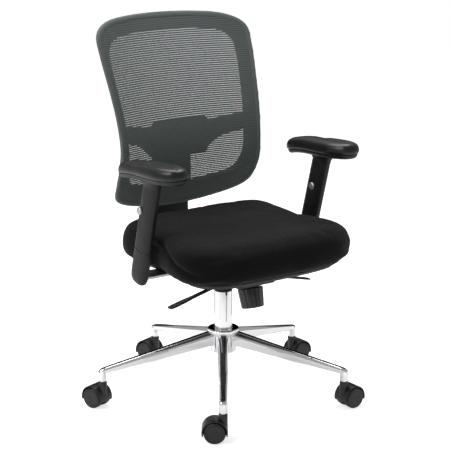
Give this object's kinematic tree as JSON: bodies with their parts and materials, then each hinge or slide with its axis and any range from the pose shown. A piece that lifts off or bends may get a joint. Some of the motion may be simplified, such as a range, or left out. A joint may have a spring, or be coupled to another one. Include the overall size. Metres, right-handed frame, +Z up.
{
  "type": "swivel office chair",
  "caption": "Swivel office chair with a mesh back and adjustable lumbar pad, padded seat, height-adjustable armrests, gas lift, tilt mechanism and chromed star base on twin casters.",
  "frame": {"origin": "on the floor, under the middle of the outline of the whole chair", "axes": "+Z up; the sitter faces -Y, so -X is the sitter's right"},
  "size_m": [0.7632, 0.7234, 1.051],
  "materials": {
    "chrome": "polished chrome plate",
    "steel": "zinc-plated steel",
    "spring_steel": "oiled spring wire",
    "black_metal": "black powder coat",
    "black_plastic": "fine-textured moulding",
    "wheel_nylon": "satin nylon",
    "soft_pad": "soft moulded polyurethane skin",
    "seat_fabric": "tight knitted upholstery over foam",
    "back_mesh": "open knitted mesh",
    "button_metal": "satin silver"
  },
  "bodies": {
    "base": {"star_base": "chrome", "stand_tube": "chrome", "guide_bush": "black_plastic", "thrust_bearing": "steel", "caster_front_right_stem": "steel", "caster_front_left_stem": "steel", "caster_side_left_stem": "steel", "caster_rear_stem": "steel", "caster_side_right_stem": "steel"},
    "column_rod": {"piston_rod": "steel", "retaining_clip": "steel"},
    "mechanism": {"pressure_cylinder": "chrome", "mechanism_housing": "black_metal", "tilt_spring": "spring_steel", "tension_bolt": "steel"},
    "release_pin_body": {"release_pin": "steel"},
    "tension_knob_body": {"tension_knob": "black_plastic"},
    "lift_lever_body": {"lift_lever": "black_plastic"},
    "tilt_lock_body": {"tilt_lock_lever": "black_plastic"},
    "seat": {"seat_plate": "black_metal", "tilt_axle": "black_metal", "seat_shell": "black_plastic", "seat_cushion": "seat_fabric", "back_bar": "black_plastic", "back_frame": "black_plastic", "back_mesh": "back_mesh", "arm_right_bracket": "steel", "arm_right_shroud": "black_plastic", "arm_left_bracket": "steel", "arm_left_shroud": "black_plastic"},
    "lumbar": {"lumbar_pad": "soft_pad"},
    "arm_right": {"arm_right_sleeve": "black_plastic", "arm_right_pad_base": "black_plastic", "arm_right_pad": "soft_pad"},
    "arm_right_button_body": {"arm_right_button": "button_metal"},
    "arm_left": {"arm_left_sleeve": "black_plastic", "arm_left_pad_base": "black_plastic", "arm_left_pad": "soft_pad"},
    "arm_left_button_body": {"arm_left_button": "button_metal"},
    "caster_front_right": {"caster_front_right_hood": "black_plastic", "caster_front_right_axle": "steel"},
    "wheel_front_right_outer": {"caster_front_right_wheel_outer": "wheel_nylon"},
    "wheel_front_right_inner": {"caster_front_right_wheel_inner": "wheel_nylon"},
    "caster_front_left": {"caster_front_left_hood": "black_plastic", "caster_front_left_axle": "steel"},
    "wheel_front_left_outer": {"caster_front_left_wheel_outer": "wheel_nylon"},
    "wheel_front_left_inner": {"caster_front_left_wheel_inner": "wheel_nylon"},
    "caster_side_left": {"caster_side_left_hood": "black_plastic", "caster_side_left_axle": "steel"},
    "wheel_side_left_outer": {"caster_side_left_wheel_outer": "wheel_nylon"},
    "wheel_side_left_inner": {"caster_side_left_wheel_inner": "wheel_nylon"},
    "caster_rear": {"caster_rear_hood": "black_plastic", "caster_rear_axle": "steel"},
    "wheel_rear_outer": {"caster_rear_wheel_outer": "wheel_nylon"},
    "wheel_rear_inner": {"caster_rear_wheel_inner": "wheel_nylon"},
    "caster_side_right": {"caster_side_right_hood": "black_plastic", "caster_side_right_axle": "steel"},
    "wheel_side_right_outer": {"caster_side_right_wheel_outer": "wheel_nylon"},
    "wheel_side_right_inner": {"caster_side_right_wheel_inner": "wheel_nylon"}
  },
  "joints": [
    {"name": "column_swivel", "type": "hinge", "parent": "base", "child": "column_rod", "pos_m": [-0.00758, -0.04959, 0], "axis": [0, 0, 1], "continuous": true},
    {"name": "seat_lift", "type": "slide", "parent": "column_rod", "child": "mechanism", "axis": [0, 0, 1], "range_m": [0, 0.1]},
    {"name": "release_pin_press", "type": "slide", "parent": "mechanism", "child": "release_pin_body", "axis": [0, 0, -1], "range_m": [0, 0.0062]},
    {"name": "tension_knob_turn", "type": "hinge", "parent": "mechanism", "child": "tension_knob_body", "pos_m": [-0.00758, -0.17359, 0.345], "axis": [0, 0.2419, 0.9703], "range_deg": [-360, 360]},
    {"name": "lift_lever_raise", "type": "hinge", "parent": "mechanism", "child": "lift_lever_body", "pos_m": [-0.06608, -0.13459, 0.3605], "axis": [0, 1, 0], "range_deg": [0, 6], "stiffness_Nm_per_rad": 2, "springref_deg": -8.59},
    {"name": "tilt_lock_turn", "type": "hinge", "parent": "mechanism", "child": "tilt_lock_body", "pos_m": [0.05092, -0.13459, 0.3605], "axis": [0, -1, 0], "range_deg": [0, 6]},
    {"name": "seat_tilt", "type": "hinge", "parent": "mechanism", "child": "seat", "pos_m": [-0.00758, -0.08959, 0.374], "axis": [-1, 0, 0], "range_deg": [0, 13], "stiffness_Nm_per_rad": 140, "springref_deg": -20.05, "deforming": ["tilt_spring"]},
    {"name": "lumbar_height", "type": "slide", "parent": "seat", "child": "lumbar", "axis": [0, 0, 1], "range_m": [-0.02, 0.02]},
    {"name": "arm_right_height", "type": "slide", "parent": "seat", "child": "arm_right", "axis": [-0.0051, -0.2571, 0.9664], "range_m": [0, 0.07]},
    {"name": "arm_right_button_press", "type": "slide", "parent": "arm_right", "child": "arm_right_button_body", "axis": [1, 0, 0.0052], "range_m": [0, 0.003], "stiffness_N_per_m": 400, "springref_m": -0.004},
    {"name": "arm_left_height", "type": "slide", "parent": "seat", "child": "arm_left", "axis": [0.0051, -0.2571, 0.9664], "range_m": [0, 0.07]},
    {"name": "arm_left_button_press", "type": "slide", "parent": "arm_left", "child": "arm_left_button_body", "axis": [1, 0, -0.0052], "range_m": [0, 0.003], "stiffness_N_per_m": 400, "springref_m": -0.004},
    {"name": "caster_front_right_turn", "type": "hinge", "parent": "base", "child": "caster_front_right", "pos_m": [-0.2133, -0.33275, 0], "axis": [0, 0, 1], "continuous": true},
    {"name": "wheel_front_right_outer_roll", "type": "hinge", "parent": "caster_front_right", "child": "wheel_front_right_outer", "pos_m": [-0.2311, -0.31982, 0.0295], "axis": [-0.5878, -0.809, 0], "continuous": true},
    {"name": "wheel_front_right_inner_roll", "type": "hinge", "parent": "caster_front_right", "child": "wheel_front_right_inner", "pos_m": [-0.2311, -0.31982, 0.0295], "axis": [-0.5878, -0.809, 0], "continuous": true},
    {"name": "caster_front_left_turn", "type": "hinge", "parent": "base", "child": "caster_front_left", "pos_m": [0.19815, -0.33275, 0], "axis": [0, 0, 1], "continuous": true},
    {"name": "wheel_front_left_outer_roll", "type": "hinge", "parent": "caster_front_left", "child": "wheel_front_left_outer", "pos_m": [0.22015, -0.33275, 0.0295], "axis": [0, 1, 0], "continuous": true},
    {"name": "wheel_front_left_inner_roll", "type": "hinge", "parent": "caster_front_left", "child": "wheel_front_left_inner", "pos_m": [0.22015, -0.33275, 0.0295], "axis": [0, 1, 0], "continuous": true},
    {"name": "caster_side_left_turn", "type": "hinge", "parent": "base", "child": "caster_side_left", "pos_m": [0.32529, 0.05856, 0], "axis": [0, 0, 1], "continuous": true},
    {"name": "wheel_side_left_outer_roll", "type": "hinge", "parent": "caster_side_left", "child": "wheel_side_left_outer", "pos_m": [0.34729, 0.05856, 0.0295], "axis": [0, 1, 0], "continuous": true},
    {"name": "wheel_side_left_inner_roll", "type": "hinge", "parent": "caster_side_left", "child": "wheel_side_left_inner", "pos_m": [0.34729, 0.05856, 0.0295], "axis": [0, 1, 0], "continuous": true},
    {"name": "caster_rear_turn", "type": "hinge", "parent": "base", "child": "caster_rear", "pos_m": [-0.00758, 0.30041, 0], "axis": [0, 0, 1], "continuous": true},
    {"name": "wheel_rear_outer_roll", "type": "hinge", "parent": "caster_rear", "child": "wheel_rear_outer", "pos_m": [-0.01438, 0.32133, 0.0295], "axis": [-0.9511, -0.309, 0], "continuous": true},
    {"name": "wheel_rear_inner_roll", "type": "hinge", "parent": "caster_rear", "child": "wheel_rear_inner", "pos_m": [-0.01438, 0.32133, 0.0295], "axis": [-0.9511, -0.309, 0], "continuous": true},
    {"name": "caster_side_right_turn", "type": "hinge", "parent": "base", "child": "caster_side_right", "pos_m": [-0.34045, 0.05856, 0], "axis": [0, 0, 1], "continuous": true},
    {"name": "wheel_side_right_outer_roll", "type": "hinge", "parent": "caster_side_right", "child": "wheel_side_right_outer", "pos_m": [-0.34725, 0.07949, 0.0295], "axis": [-0.9511, -0.309, 0], "continuous": true},
    {"name": "wheel_side_right_inner_roll", "type": "hinge", "parent": "caster_side_right", "child": "wheel_side_right_inner", "pos_m": [-0.34725, 0.07949, 0.0295], "axis": [-0.9511, -0.309, 0], "continuous": true}
  ],
  "couplings": [
    {"joint": "release_pin_press", "follows": "lift_lever_raise", "m_per_rad": 0.0585}
  ]
}
